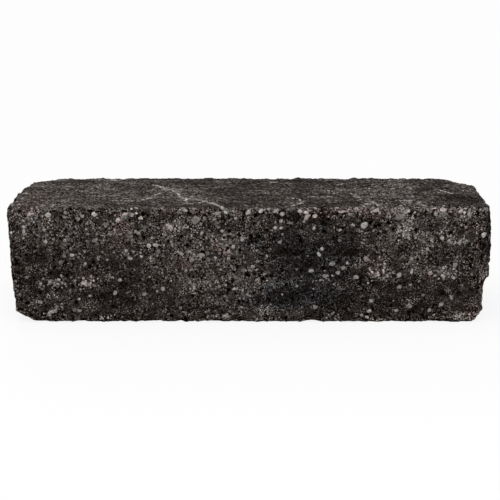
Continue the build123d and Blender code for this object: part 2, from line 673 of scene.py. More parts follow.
@dataclass(frozen=True)
class ConcreteFinish:
    """Dark tumbled concrete. Tones add up as powers of e, so that each one multiplies the colour."""

    name: str = "tumbled_concrete"
    mean_tone: float = 0.0141
    deep: Colour = (1.41, 0.882, 0.645)
    light: Colour = (1.097, 0.975, 0.905)
    tint_tones: Span = (-2.2, 1.9)
    rust: Colour = (1.16, 0.95, 0.92)
    smoke: Colour = (0.88, 0.985, 1.11)
    fine_shake: Span = (2.2 * MM, 0.55 * MM)
    coarse_shake: Span = (3.6 * MM, 1.5 * MM)
    grit_size: float = 2.7 * MM
    fine_size: float = 1.0 * MM
    skin_size: Lengths = (2.0 * MM, 1.9 * MM, 1.9 * MM)
    scuff_size: Lengths = (15 * MM, 4.2 * MM, 4.2 * MM)
    speck_size: float = 5.4 * MM
    crumb_size: float = 2.9 * MM
    void_size: float = 4.8 * MM
    pinhole_size: float = 2.8 * MM
    mottle_size: float = 9 * MM
    calm_size: float = 11 * MM
    smear_size: Lengths = (42 * MM, 20 * MM, 17 * MM)
    broad_size: float = 110 * MM
    streak_size: Lengths = (80 * MM, 3.8 * MM, 3.8 * MM)
    scuff_clouds: Span = (0.62, 0.7)
    calm_clouds: Span = (0.42, 0.6)
    pale_grit: Span = (0.7, 1.0)
    dark_grit: Span = (0.2, 0.0)
    grit_lift: float = 0.35
    grit_drop: float = 0.5
    fine_contrast: float = 4.6
    skin_contrast: float = 3.8
    streak_contrast: float = 2.3
    scuff_lift: float = 0.9
    mottle_contrast: float = 2.0
    skin_mottle_contrast: float = 0.8
    smear_contrast: float = 3.0
    broad_contrast: float = 1.8
    calm_share: float = 0.75
    calm_lift: float = 0.45
    pale_lift: float = 0.55
    dark_drop: float = 1.0
    worn_lift: float = 0.48
    pressed_lift: float = 0.555
    scratch_lift: float = 0.9
    speck_share: float = 0.08
    crumb_share: float = 0.05
    speck_bars: tuple[tuple[Mark, float], ...] = (
        (Mark.PALE, -0.40), (Mark.WORN, -0.30), (Mark.DARK, 0.06), (Mark.PRESSED, 0.14)
    )
    speck_rim: Span = (0.2, 0.24)
    speck_blur: float = 0.1
    speck_level: float = 0.05
    speck_spread: float = 0.15
    speck_lift: float = 0.05
    void_share: float = 0.11
    pinhole_share: float = 0.40
    void_bars: tuple[tuple[Mark, float], ...] = ((Mark.PRESSED, -0.85), (Mark.WORN, 0.9), (Mark.POROUS, 0.4))
    void_rim: Span = (0.16, 0.3)
    void_blur: float = 0.08
    # How nearly black the holes are painted: painted shade, with some dust in the pores.
    void_shade_and_dust: float = 0.99
    bar_blur: float = 0.02
    relief: float = 0.6 * MM
    grit_height: float = 0.2
    fine_height: float = 0.3
    speck_height: float = 0.3
    hollow_depth: float = 1.2
    mottle_height: float = 0.3
    roughness: float = 0.92
    speck_polish: float = 0.18
    skin_polish: float = 0.08
    shine: float = 0.01

    def material(self) -> bpy.types.Material:
        """Makes the material, which reads the marks painted on the block.

        Returns:
            The material.
        """
        sheet = ShaderSheet(bpy.data.materials.new(self.name))
        places = sheet.places()
        shaken = sheet.jostled(places, *self.fine_shake)
        ragged = sheet.jostled(places, *self.coarse_shake)
        marks = {mark: sheet.mark(mark.value) for mark in Mark}
        pressed = marks[Mark.PRESSED]
        _, grit, _ = sheet.grains(shaken, self.grit_size)
        _, fine, _ = sheet.grains(shaken, self.fine_size)
        _, skin, _ = sheet.grains(sheet.shrunk(shaken, self.skin_size), 1.0)
        streaks = sheet.clouds(sheet.shrunk(places, self.streak_size), 1.0, 3.0)
        scuffs = sheet.clouds(sheet.shrunk(shaken, self.scuff_size), 1.0, 2.0)
        mottle = sheet.clouds(places, self.mottle_size, 3.0)
        smears = sheet.clouds(sheet.shrunk(places, self.smear_size), 1.0, 2.0)
        broad = sheet.clouds(places, self.broad_size, 2.0)
        calm = sheet.step(sheet.clouds(places, self.calm_size, 2.0), *self.calm_clouds)
        gritty = sheet.total((calm, -self.calm_share), (1.0, 1.0 + 0.5 * self.calm_share))

        rough_tone = sheet.total(
            (sheet.math("MULTIPLY", sheet.swing((fine, self.fine_contrast)), gritty), 1.0),
            (sheet.swing((mottle, self.mottle_contrast)), 1.0),
            (calm, self.calm_lift),
            (sheet.step(grit, *self.pale_grit), self.grit_lift),
            (sheet.step(grit, *self.dark_grit), -self.grit_drop),
        )
        skin_tone = sheet.swing(
            (skin, self.skin_contrast), (streaks, self.streak_contrast), (mottle, self.skin_mottle_contrast)
        )
        tone = sheet.total(
            (sheet.blend(pressed, rough_tone, skin_tone), 1.0),
            (sheet.swing((smears, self.smear_contrast), (broad, self.broad_contrast)), 1.0),
            (marks[Mark.PALE], self.pale_lift),
            (marks[Mark.DARK], -self.dark_drop),
            (marks[Mark.WORN], self.worn_lift),
            (pressed, self.pressed_lift),
            (sheet.math("MULTIPLY", sheet.step(scuffs, *self.scuff_clouds), pressed), self.scuff_lift),
            (marks[Mark.SCRATCH], self.scratch_lift),
        )
        level = sheet.math("MULTIPLY", sheet.math("POWER", math.e, tone), self.mean_tone)

        specks, speck_level = self.specks(sheet, ragged, marks, self.speck_size, self.speck_share)
        crumbs, crumb_level = self.specks(sheet, shaken, marks, self.crumb_size, self.crumb_share)
        pores = self.voids(sheet, ragged, marks, self.void_size, self.void_share, gritty)
        pinholes = self.voids(sheet, shaken, marks, self.pinhole_size, self.pinhole_share, gritty)
        hollow = sheet.most(pores, pinholes, marks[Mark.PORE])
        level = sheet.blend(crumbs, sheet.blend(specks, level, speck_level), crumb_level)
        # Holes, pores and overhung edges are painted nearly black and warm: painted shade, with some dust in
        # the pores.
        unshaded_share = sheet.total((hollow, -self.void_shade_and_dust), (1.0, 1.0))
        brightness = sheet.most(sheet.step(tone, *self.tint_tones), specks, crumbs)
        tint = sheet.mix(sheet.math("MULTIPLY", brightness, unshaded_share), self.deep, self.light)
        colour = sheet.mix(1.0, sheet.grey(sheet.math("MULTIPLY", level, unshaded_share)), tint, "MULTIPLY")
        colour = sheet.mix(marks[Mark.RUST], colour, self.rust, "MULTIPLY")
        colour = sheet.mix(marks[Mark.SMOKE], colour, self.smoke, "MULTIPLY")

        height = sheet.total(
            (grit, self.grit_height),
            (fine, self.fine_height),
            (specks, self.speck_height),
            (hollow, -self.hollow_depth),
            (mottle, self.mottle_height),
        )
        rough = sheet.total(
            (specks, -self.speck_polish), (pressed, -self.skin_polish), (1.0, self.roughness)
        )
        return sheet.coat(colour, rough, height, self.relief, self.shine)

    def specks(
        self, sheet: ShaderSheet, places: Feed, marks: dict[Mark, Feed], size: float, share: float
    ) -> tuple[Socket, Socket]:
        """Pale grains too small to be stones, thicker in pale places and on worn edges.

        Args:
            sheet: The material's nodes.
            places: The coordinates.
            marks: The marks painted on the block.
            size: The size of the cells that may hold a grain.
            share: How many of the cells do.

        Returns:
            Where the grains are, and how pale each one is.
        """
        far, pick, tone = sheet.grains(places, size)
        bar = sheet.total(*((marks[mark], weight) for mark, weight in self.speck_bars), (1.0, 1.0 - share))
        chosen = sheet.step(pick, bar, sheet.math("ADD", bar, self.bar_blur))
        rim = sheet.total((tone, self.speck_rim[0]), (1.0, self.speck_rim[1]))
        inside = sheet.step(far, rim, sheet.math("SUBTRACT", rim, self.speck_blur))
        level = sheet.total(
            (tone, self.speck_spread), (marks[Mark.PALE], self.speck_lift), (1.0, self.speck_level)
        )
        return sheet.math("MULTIPLY", chosen, inside), level

    def voids(
        self,
        sheet: ShaderSheet,
        places: Feed,
        marks: dict[Mark, Feed],
        size: float,
        share: float,
        gritty: Feed,
    ) -> Socket:
        """Small holes between the grains, painted black as the shade inside them, few of them in the pressed
        skin.

        Args:
            sheet: The material's nodes.
            places: The coordinates.
            marks: The marks painted on the block.
            size: The size of the cells that may hold a hole.
            share: How many of the cells do.
            gritty: How rough each place is, about 1.

        Returns:
            Where the holes are.
        """
        far, pick, width = sheet.grains(places, size)
        bar = sheet.total(*((marks[mark], weight * share) for mark, weight in self.void_bars), (1.0, share))
        bar = sheet.math("MULTIPLY", bar, gritty)
        chosen = sheet.step(pick, bar, sheet.math("SUBTRACT", bar, self.bar_blur))
        rim = sheet.total((width, self.void_rim[0]), (1.0, self.void_rim[1]))
        inside = sheet.step(far, rim, sheet.math("SUBTRACT", rim, self.void_blur))
        return sheet.math("MULTIPLY", chosen, inside)


@dataclass(frozen=True)
class StoneFinish:
    """The stones of the mix, ground flat by tumbling and dusted with cement at their rims."""

    name: str = "exposed_stones"
    tint_mark: str = "stone_tint"
    cap_mark: str = "stone_cap"
    dust: Colour = (0.030, 0.026, 0.024)
    fleck_size: float = 2.2 * MM
    fleck_contrast: float = 3.4
    fleck_cover: float = 0.6
    cover_size: float = 4.5 * MM
    cover: float = 1.1
    dusty_caps: Span = (0.36, 0.1)
    roughness: float = 0.8
    shine: float = 0.06
    relief: float = 0.3 * MM

    def material(self) -> bpy.types.Material:
        """Makes the material, which reads each stone's own tint.

        Returns:
            The material.
        """
        sheet = ShaderSheet(bpy.data.materials.new(self.name))
        places = sheet.places()
        tint = sheet.node("Attribute", {}, attribute_name=self.tint_mark).outputs["Color"]
        flecks = sheet.clouds(places, self.fleck_size, 3.0, 0.7)
        shade = sheet.math("POWER", math.e, sheet.swing((flecks, self.fleck_contrast)))
        speckled = sheet.mix(1.0, tint, sheet.grey(shade), "MULTIPLY")
        clouds = sheet.clouds(places, self.cover_size, 2.0)
        cover = sheet.swing((flecks, self.fleck_cover), (clouds, self.cover))
        ragged_cap = sheet.math("ADD", sheet.mark(self.cap_mark), cover)
        colour = sheet.mix(sheet.step(ragged_cap, *self.dusty_caps), speckled, self.dust)
        return sheet.coat(colour, self.roughness, flecks, self.relief, self.shine)


@dataclass(frozen=True)
class FloorFinish:
    """A white floor that the camera sees almost evenly lit, with the block's shadow faint on it."""

    name: str = "studio_floor"
    white: Colour = (0.985, 0.985, 0.985)
    paint: Colour = (0.82, 0.82, 0.82)
    shadow_share: float = 0.15
    shadow_reach: Span = (0.8, 0.35)

    def material(self) -> bpy.types.Material:
        """Makes the material.

        Returns:
            The material.
        """
        sheet = ShaderSheet(bpy.data.materials.new(self.name))
        paint = sheet.node("BsdfDiffuse", {"Color": self.paint}).outputs[0]
        glow = sheet.node("Emission", {"Color": self.white, "Strength": 1.0}).outputs[0]
        far = sheet.node("VectorMath", {0: sheet.places()}, operation="LENGTH").outputs["Value"]
        near = sheet.step(far, *self.shadow_reach)
        lit = sheet.total((near, -self.shadow_share), (1.0, 1.0))
        share = sheet.math("MULTIPLY", sheet.in_sight(), lit)
        return sheet.finish(sheet.node("MixShader", {0: share, 1: paint, 2: glow}).outputs[0])


@dataclass
class Relief:
    """The block's fine mesh as arrays, one row for each vertex, with the marks painted on it."""

    places: np.ndarray
    normals: np.ndarray
    marks: dict[Mark, np.ndarray] = field(default_factory=dict)

    def tree(self) -> KDTree:
        """Makes a search tree of the vertices where they are now.

        Returns:
            The tree.
        """
        tree = KDTree(len(self.places))
        for index, place in enumerate(self.places.tolist()):
            tree.insert(place, index)
        tree.balance()
        return tree

    def mark(self, mark: Mark) -> np.ndarray:
        """A mark's strength at each vertex, 0 where it hasn't been painted."""
        return self.marks.get(mark, np.zeros(len(self.places)))

    def paint(self, mark: Mark, values: np.ndarray) -> None:
        """Adds to a mark, and keeps it between 0 and 1."""
        self.marks[mark] = np.clip(self.mark(mark) + values, 0.0, 1.0)

    def keep_on_bed(self) -> None:
        """Lifts what has come to lie under the bed back up to it."""
        self.places[:, 2] = np.maximum(self.places[:, 2], 0.0)


@dataclass
class TumbledBlock:
    """The block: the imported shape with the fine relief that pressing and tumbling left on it."""

    node: bpy.types.Object
    camera: PhotoCamera
    finish: ConcreteFinish
    name: str = "tumbled_block"
    weld_reach: float = 0.005 * MM
    voxel: float = 1.6 * MM
    most_triangles: int = 190_000
    smoothing_turns: int = 40
    edge_bulge: float = 1.6 * MM
    # How much painted shade darkens the hollows.
    hollow_shade: float = 0.5
    # Noise that breaks up the painted shadow under overhanging edges.
    shadow_gap_waves: Waves = Waves(5.0 * MM, 2, 131.9)
    skin_waves: Waves = Waves(17 * MM, 3, 3.1)
    skin_inset: Span = (3.0 * MM, 9.0 * MM)
    skin_sway: float = 6.0 * MM
    wave: float = 0.5 * MM
    long_waves: Waves = Waves(28 * MM, 2, 11.7)
    rough: float = 0.7 * MM
    close_waves: Waves = Waves(5.0 * MM, 3, 5.3)
    nibble: float = 2.0 * MM
    nibble_waves: Waves = Waves(8.0 * MM, 3, 23.9)
    chip_count: int = 420
    chip_radius: Span = (3.0 * MM, 12 * MM)
    chip_bite: Span = (0.3 * MM, 2.2 * MM)
    pore_count: int = 580
    pore_radius: Span = (1.7 * MM, 3.0 * MM)
    pore_depth: float = 1.2
    # How strongly the pores are darkened: partly dust, partly painted shade.
    pore_dust_and_shade_strength: float = 2.2
    pore_waves: Waves = Waves(55 * MM, 2, 41.3)
    patch_depth: float = 8.0
    border_waves: Waves = Waves(12 * MM, 4, 61.7)
    hidden_patches: tuple[tuple[Mark, float, Waves], ...] = (
        (Mark.PALE, 0.5, Waves(45 * MM, 3, 71.9)),
        (Mark.DARK, 0.9, Waves(45 * MM, 3, 83.1)),
        (Mark.RUST, 0.6, Waves(45 * MM, 3, 97.3)),
        (Mark.POROUS, 0.8, Waves(45 * MM, 3, 107.7)),
    )
    scratch_width: float = 4.2 * MM
    scratch_sway: float = 1.5 * MM
    scratch_gaps: Waves = Waves(6 * MM, 2, 101.1)
    scratch_waves: Waves = Waves(9 * MM, 2, 113.7)
    seed: int = 7

    def build(self) -> bpy.types.Object:
        """Makes the block's mesh, with its marks, and dresses it.

        Returns:
            The finished piece.
        """
        block = add_object(self.name, self.node.data.copy())
        self.weld(block.data)
        settle(block, "REMESH", mode="VOXEL", voxel_size=self.voxel)
        relief = Relief(read_vectors(block.data, "co"), read_vectors(block.data, "normal"))
        search = BVHTree.FromObject(block, bpy.context.evaluated_depsgraph_get())
        draw = np.random.default_rng(self.seed)
        self.find_edges(block.data, relief)
        self.find_skin(relief)
        self.paint_patches(relief, search)
        self.paint_scratches(relief, search)
        self.roughen(relief)
        self.chip_edges(relief, draw)
        self.open_pores(relief, draw)
        self.write(block.data, relief)
        self.thin(block, relief)
        self.dress(block)
        return block

    def weld(self, mesh: bpy.types.Mesh) -> None:
        """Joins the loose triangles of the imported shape.

        Args:
            mesh: The copied mesh, changed in place.
        """
        shape = bmesh.new()
        shape.from_mesh(mesh)
        bmesh.ops.remove_doubles(shape, verts=shape.verts, dist=self.weld_reach)
        shape.to_mesh(mesh)
        shape.free()

    def find_edges(self, mesh: bpy.types.Mesh, relief: Relief) -> None:
        """Paints the worn edges, which bulge from their smoothed surroundings, and painted shade in the
        hollows.

        Black shadow is painted where an edge overhangs, broken into ragged runs.

        Args:
            mesh: The evened mesh.
            relief: Its arrays.
        """
        ends = np.empty(len(mesh.edges) * 2, dtype=np.int64)
        mesh.edges.foreach_get("vertices", ends)
        first, second = ends.reshape(-1, 2).T
        count = len(relief.places)
        neighbours = np.bincount(first, minlength=count) + np.bincount(second, minlength=count)
        smoothed = relief.places.copy()
        for _ in range(self.smoothing_turns):
            for axis in range(3):
                column = smoothed[:, axis]
                summed = np.bincount(first, column[second], count) + np.bincount(second, column[first], count)
                smoothed[:, axis] = 0.5 * column + 0.5 * summed / neighbours
        bulge = np.einsum("ij,ij->i", relief.places - smoothed, relief.normals) / self.edge_bulge
        relief.paint(Mark.WORN, ease(0.15, 1.0, bulge))
        # Painted shade: darkens the colour where the surface sinks below its smoothed surroundings.
        relief.paint(Mark.DARK, self.hollow_shade * ease(0.1, 0.6, -bulge))
        # Painted shadow: black under the edges that overhang, in ragged runs.
        gap_shadow = ease(0.1, 0.3, self.shadow_gap_waves.at(relief.places))
        undercut = ease(0.75, 0.45, relief.normals[:, 2]) * ease(0.05, 0.3, bulge)
        relief.paint(Mark.PORE, gap_shadow * undercut)

    def find_skin(self, relief: Relief) -> None:
        """Paints the pressed skin of the top, which stops raggedly a little way in from its rim.

        Args:
            relief: The arrays.
        """
        low = relief.places.min(axis=0)
        high = relief.places.max(axis=0)
        inset = np.minimum(relief.places - low, high - relief.places)[:, :2].min(axis=1)
        facing = ease(0.7, 0.93, relief.normals[:, 2])
        swayed = inset + self.skin_sway * self.skin_waves.at(relief.places)
        relief.paint(Mark.PRESSED, facing * ease(*self.skin_inset, swayed))

    def paint_patches(self, relief: Relief, search: BVHTree) -> None:
        """Paints the patches that the photograph shows, with ragged borders, and clouds on the far faces.

        Args:
            relief: The arrays whose marks are painted.
            search: The search tree of the plain block.
        """
        ragged = self.border_waves.at(relief.places)
        for mark, patch in ((mark, patch) for mark, patches in PATCHES.items() for patch in patches):
            middle, normal = (np.array(found) for found in self.camera.seen(search, patch.pixel))
            offset = relief.places - middle
            along = offset[:, 0]
            up = offset[:, 2] if abs(normal[2]) < 0.7 else offset[:, 1]
            cos = math.cos(math.radians(patch.tilt))
            sin = math.sin(math.radians(patch.tilt))
            reach_along, reach_up = (length * MM for length in patch.reach)
            far = np.hypot((along * cos + up * sin) / reach_along, (up * cos - along * sin) / reach_up)
            far = np.hypot(far, offset @ normal / (max(self.patch_depth, min(patch.reach)) * MM))
            facing = ease(0.0, 0.5, relief.normals @ normal)
            relief.paint(mark, patch.strength * ease(1.3, 0.3, far + 0.5 * ragged) * facing)
        hidden = ease(0.2, 0.6, relief.normals[:, 1]) + ease(0.3, 0.8, np.abs(relief.normals[:, 0]))
        hidden = np.clip(hidden, 0.0, 1.0)
        for mark, strength, waves in self.hidden_patches:
            relief.paint(mark, strength * hidden * ease(0.1, 0.8, waves.at(relief.places)))

    def paint_scratches(self, relief: Relief, search: BVHTree) -> None:
        """Paints the pale scratches on the pressed top.

        Args:
            relief: The arrays whose marks are painted.
            search: The search tree of the plain block.
        """
        broken = ease(-0.5, 0.3, self.scratch_gaps.at(relief.places))
        sway = self.scratch_waves.at(relief.places) * self.scratch_sway
        for scratch in SCRATCHES:
            points = [np.array(self.camera.seen(search, pixel)[0]) for pixel in scratch.pixels]
            nearest = np.full(len(relief.places), np.inf)
            for start, end in zip(points, points[1:]):
                run = end - start
                share = np.clip((relief.places - start) @ run / (run @ run), 0.0, 1.0)
                far = np.linalg.norm(relief.places - start - share[:, None] * run, axis=1)
                nearest = np.minimum(nearest, far)
            near = ease(self.scratch_width, 0.4 * self.scratch_width, nearest + sway)
            relief.paint(Mark.SCRATCH, scratch.strength * near * broken)

    def roughen(self, relief: Relief) -> None:
        """Moves the surface in and out: long waves, close roughness, and nibbled edges.

        Args:
            relief: The arrays, changed in place.
        """
        pressed = relief.mark(Mark.PRESSED)
        nibbles = ease(-0.5, 0.8, self.nibble_waves.at(relief.places)) - 0.3
        depth = self.wave * self.long_waves.at(relief.places) * (1.0 - 0.6 * pressed)
        depth += self.rough * self.close_waves.at(relief.places) * (1.0 - 0.8 * pressed)
        depth -= self.nibble * relief.mark(Mark.WORN) * nibbles
        depth *= ease(-0.995, -0.93, relief.normals[:, 2])
        relief.places += depth[:, None] * relief.normals
        relief.keep_on_bed()

    def chip_edges(self, relief: Relief, draw: np.random.Generator) -> None:
        """Scoops small chips out of the worn edges.

        Args:
            relief: The arrays, changed in place.
            draw: The source of chance.
        """
        tree = relief.tree()
        edge = np.flatnonzero(relief.mark(Mark.WORN) > 0.5)
        for index in draw.choice(edge, self.chip_count, replace=False):
            radius = draw.uniform(*self.chip_radius)
            bite = mostly_low(draw, self.chip_bite)
            centre = relief.places[index] + relief.normals[index] * (radius - bite)
            for _, near, _ in tree.find_range(centre, radius):
                away = relief.places[near] - centre
                far = math.sqrt(away @ away)
                if far < radius:
                    relief.places[near] = centre + away * (radius / far)
        relief.keep_on_bed()

    def open_pores(self, relief: Relief, draw: np.random.Generator) -> None:
        """Sinks round pores into the rough faces, thicker in some places than in others. Their darkness is
        partly dust and partly painted shade.

        Args:
            relief: The arrays, changed in place.
            draw: The source of chance.
        """
        tree = relief.tree()
        crowd = ease(-0.8, 0.8, self.pore_waves.at(relief.places)) + 2.0 * relief.mark(Mark.POROUS)
        crowd *= 1.0 - 0.96 * relief.mark(Mark.PRESSED)
        crowd *= ease(-0.9, -0.5, relief.normals[:, 2])
        chosen = draw.choice(len(crowd), self.pore_count, replace=False, p=crowd / crowd.sum())
        # Darkness of each pore: partly dust, partly painted shade in the pit.
        dark = np.zeros(len(relief.places))
        for index in chosen:
            radius = mostly_low(draw, self.pore_radius)
            inward = -relief.normals[index]
            for _, near, far in tree.find_range(relief.places[index], radius):
                share = 1.0 - (far / radius) ** 2
                relief.places[near] += inward * self.pore_depth * radius * share
                dark[near] = max(dark[near], min(1.0, self.pore_dust_and_shade_strength * share))
        relief.keep_on_bed()
        relief.paint(Mark.PORE, dark)

    def write(self, mesh: bpy.types.Mesh, relief: Relief) -> None:
        """Writes the moved places and the marks to the mesh.

        Args:
            mesh: The evened mesh, changed in place.
            relief: The arrays.
        """
        mesh.vertices.foreach_set("co", relief.places.ravel())
        for mark in Mark:
            mesh.attributes.new(mark.value, "FLOAT", "POINT").data.foreach_set("value", relief.mark(mark))
        mesh.update()

    def thin(self, block: bpy.types.Object, relief: Relief) -> None:
        """Thins the mesh to its share of triangles, and leaves the pressed top as it is.

        Args:
            block: The piece.
            relief: The arrays.
        """
        group = block.vertex_groups.new(name="thinned")
        group.add(np.flatnonzero(relief.mark(Mark.PRESSED) < 0.5).tolist(), 1.0, "REPLACE")
        share = self.most_triangles / (2.0 * len(block.data.polygons))
        settle(block, "DECIMATE", ratio=share, use_collapse_triangulate=True, vertex_group=group.name)
        block.vertex_groups.clear()

    def dress(self, block: bpy.types.Object) -> None:
        """Gives the block its finish and seats it in the frame.

        Args:
            block: The piece.
        """
        block.data.shade_smooth()
        block.data.materials.clear()
        block.data.materials.append(self.finish.material())
        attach(block, "root")
        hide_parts("edging_block")


@dataclass(frozen=True)
class Pebble:
    """One stone as it sits in the block: where, which way is out, its size, turn, colour and lumps."""

    place: Vector
    outward: Vector
    length: float
    breadth: float
    turn: float
    colour: Colour
    phase: float


@dataclass
class StonePicker:
    """Chooses which stones show in the block's faces, and where."""

    block: bpy.types.Object
    camera: PhotoCamera
    show_spread: float = 0.12
    rim_share: float = 1.2
    hidden_count: int = 140
    hidden_length: Span = (4.5 * MM, 9.5 * MM)
    hidden_breadth: Span = (0.55, 0.95)
    count: int = 1850
    small_length: Span = (2.4 * MM, 6.5 * MM)
    small_breadth: Span = (0.55, 1.0)
    small_power: float = 2.4
    small_tone: float = 0.63
    small_tints: tuple[float, ...] = (0.12, 0.36, 0.12, 0.08, 0.32)
    spacing: float = 2.4 * MM
    bare_share: float = 0.16
    mark_shares: tuple[tuple[Mark, float], ...] = (
        (Mark.PALE, 8.0), (Mark.WORN, 1.2), (Mark.DARK, -0.1), (Mark.PRESSED, -0.6), (Mark.PORE, -0.3)
    )
    foot: float = 2 * MM
    tint_spread: float = 0.34
    crumb_length: Span = (2.2 * MM, 5.0 * MM)
    crumb_breadth: Span = (0.5, 0.95)
    grain_pitch: float = 3.0 * MM
    grain_length: Span = (2.2 * MM, 4.6 * MM)
    grain_breadth: Span = (2.6 * MM, 4.6 * MM)
    grain_stray: float = 0.8 * MM
    grain_turn: float = 0.4
    seed: int = 19

    def __post_init__(self) -> None:
        """Makes the search tree of the block and the source of chance."""
        self.search = BVHTree.FromObject(self.block, bpy.context.evaluated_depsgraph_get())
        self.draw = np.random.default_rng(self.seed)

    def seat(
        self, place: Vector, size: Span, turn: float, tint: StoneTint, tone: float, spread: float
    ) -> Pebble:
        """Seats a stone on the surface's mean level round it.

        Args:
            place: A point of the surface.
            size: The stone's length and breadth.
            turn: How far its length is turned about the way out.
            tint: Its colour.
            tone: What the colour is multiplied by.
            spread: How far chance moves the tone.

        Returns:
            The seated stone.
        """
        near = self.search.find_nearest_range(place, 0.6 * size[0])
        outward = sum((normal for _, normal, _, _ in near), Vector()).normalized()
        level = sum(point.dot(outward) for point, _, _, _ in near) / len(near)
        seated = place + outward * (level - place.dot(outward))
        bright = tone * math.exp(min(self.draw.normal(0.0, spread), spread))
        colour = tuple(bright * value for value in tint.value)
        return Pebble(seated, outward, *size, turn, colour, self.draw.uniform(0.0, 90.0))

    def show_stones(self) -> list[Pebble]:
        """Seats the stones that stand out in the photograph, with the dusty rim that hides their edge.

        Returns:
            The stones.
        """
        pebbles = []
        for stone in STONES:
            place, _ = self.camera.seen(self.search, stone.pixel)
            size = (self.rim_share * stone.length * MM, self.rim_share * stone.breadth * MM)
            turn = math.radians(stone.tilt)
            pebbles.append(self.seat(place, size, turn, stone.tint, 1.0, self.show_spread))
        return pebbles

    def hidden_stones(self) -> list[Pebble]:
        """Seats large stones at random on the back and the ends, as many as the front shows.

        Returns:
            The stones.
        """
        places = read_vectors(self.block.data, "co")
        normals = read_vectors(self.block.data, "normal")
        hidden = np.maximum(normals[:, 1], np.abs(normals[:, 0])) > 0.5
        tints = list(StoneTint)
        pebbles = []
        for index in self.draw.choice(np.flatnonzero(hidden), self.hidden_count, replace=False):
            length = self.draw.uniform(*self.hidden_length)
            size = (length, length * self.draw.uniform(*self.hidden_breadth))
            tint = tints[self.draw.integers(len(tints))]
            turn = self.draw.uniform(0.0, math.pi)
            pebbles.append(self.seat(Vector(places[index]), size, turn, tint, 1.0, self.tint_spread))
        return pebbles

    def small_stones(self, taken: list[Pebble]) -> list[Pebble]:
        """Seats smaller stones at random, thicker in pale places and on worn edges.

        Args:
            taken: The stones that are already set.

        Returns:
            The new stones.
        """
        places = read_vectors(self.block.data, "co")
        weight = np.full(len(places), self.bare_share)
        for mark, share in self.mark_shares:
            values = np.empty(len(places))
            self.block.data.attributes[mark.value].data.foreach_get("value", values)
            weight += share * values
        weight = np.clip(weight, 0.0, None) * (places[:, 2] > self.foot)
        tints = list(StoneTint)
        held = KDTree(len(taken) + self.count)
        for index, pebble in enumerate(taken):
            held.insert(pebble.place, index)
        held.balance()
        pebbles: list[Pebble] = []
        for index in self.draw.choice(len(places), 3 * self.count, replace=False, p=weight / weight.sum()):
            place = Vector(places[index])
            if held.find_range(place, self.spacing):
                continue
            length = mostly_low(self.draw, self.small_length, self.small_power)
            size = (length, length * self.draw.uniform(*self.small_breadth))
            tint = tints[self.draw.choice(len(tints), p=self.small_tints)]
            turn = self.draw.uniform(0.0, math.pi)
            pebbles.append(self.seat(place, size, turn, tint, self.small_tone, self.tint_spread))
            held.insert(place, len(taken) + len(pebbles))
            held.balance()
            if len(pebbles) == self.count:
                break
        return pebbles

    def crumbs(self) -> list[Pebble]:
        """Seats the crowds of small stones that the photograph shows.

        Returns:
            The stones.
        """
        pebbles = []
        for crowd in CROWDS:
            turned = Matrix.Rotation(math.radians(crowd.tilt), 2)
            for offset in self.draw.normal(0.0, crowd.spread, (crowd.count, 2)):
                pixel = Vector(crowd.pixel) + turned @ Vector(offset)
                place, _ = self.camera.seen(self.search, pixel)
                if place is None:
                    continue
                length = self.draw.uniform(*self.crumb_length)
                size = (length, length * self.draw.uniform(*self.crumb_breadth))
                turn = self.draw.uniform(0.0, math.pi)
                pebbles.append(self.seat(place, size, turn, crowd.tint, 1.0, self.tint_spread))
        return pebbles

    def scratch_grains(self) -> list[Pebble]:
        """Seats chains of pale grains torn up along the scratches of the top.

        Returns:
            The grains.
        """
        pebbles = []
        for scratch in SCRATCHES:
            points = [self.camera.seen(self.search, pixel)[0] for pixel in scratch.pixels]
            for start, end in zip(points, points[1:]):
                run = end - start
                for share in np.arange(0.0, 1.0, self.grain_pitch / run.length):
                    if self.draw.random() > scratch.strength:
                        continue
                    shift = Vector((*self.draw.normal(0.0, self.grain_stray, 2), 0.0))
                    size = (self.draw.uniform(*self.grain_length), self.draw.uniform(*self.grain_breadth))
                    turn = math.atan2(run.y, run.x) + self.draw.normal(0.0, self.grain_turn)
                    tint = CHALK if self.draw.random() < 0.5 else ASH
                    place = start.lerp(end, share) + shift
                    pebbles.append(self.seat(place, size, turn, tint, 1.0, self.tint_spread))
        return pebbles


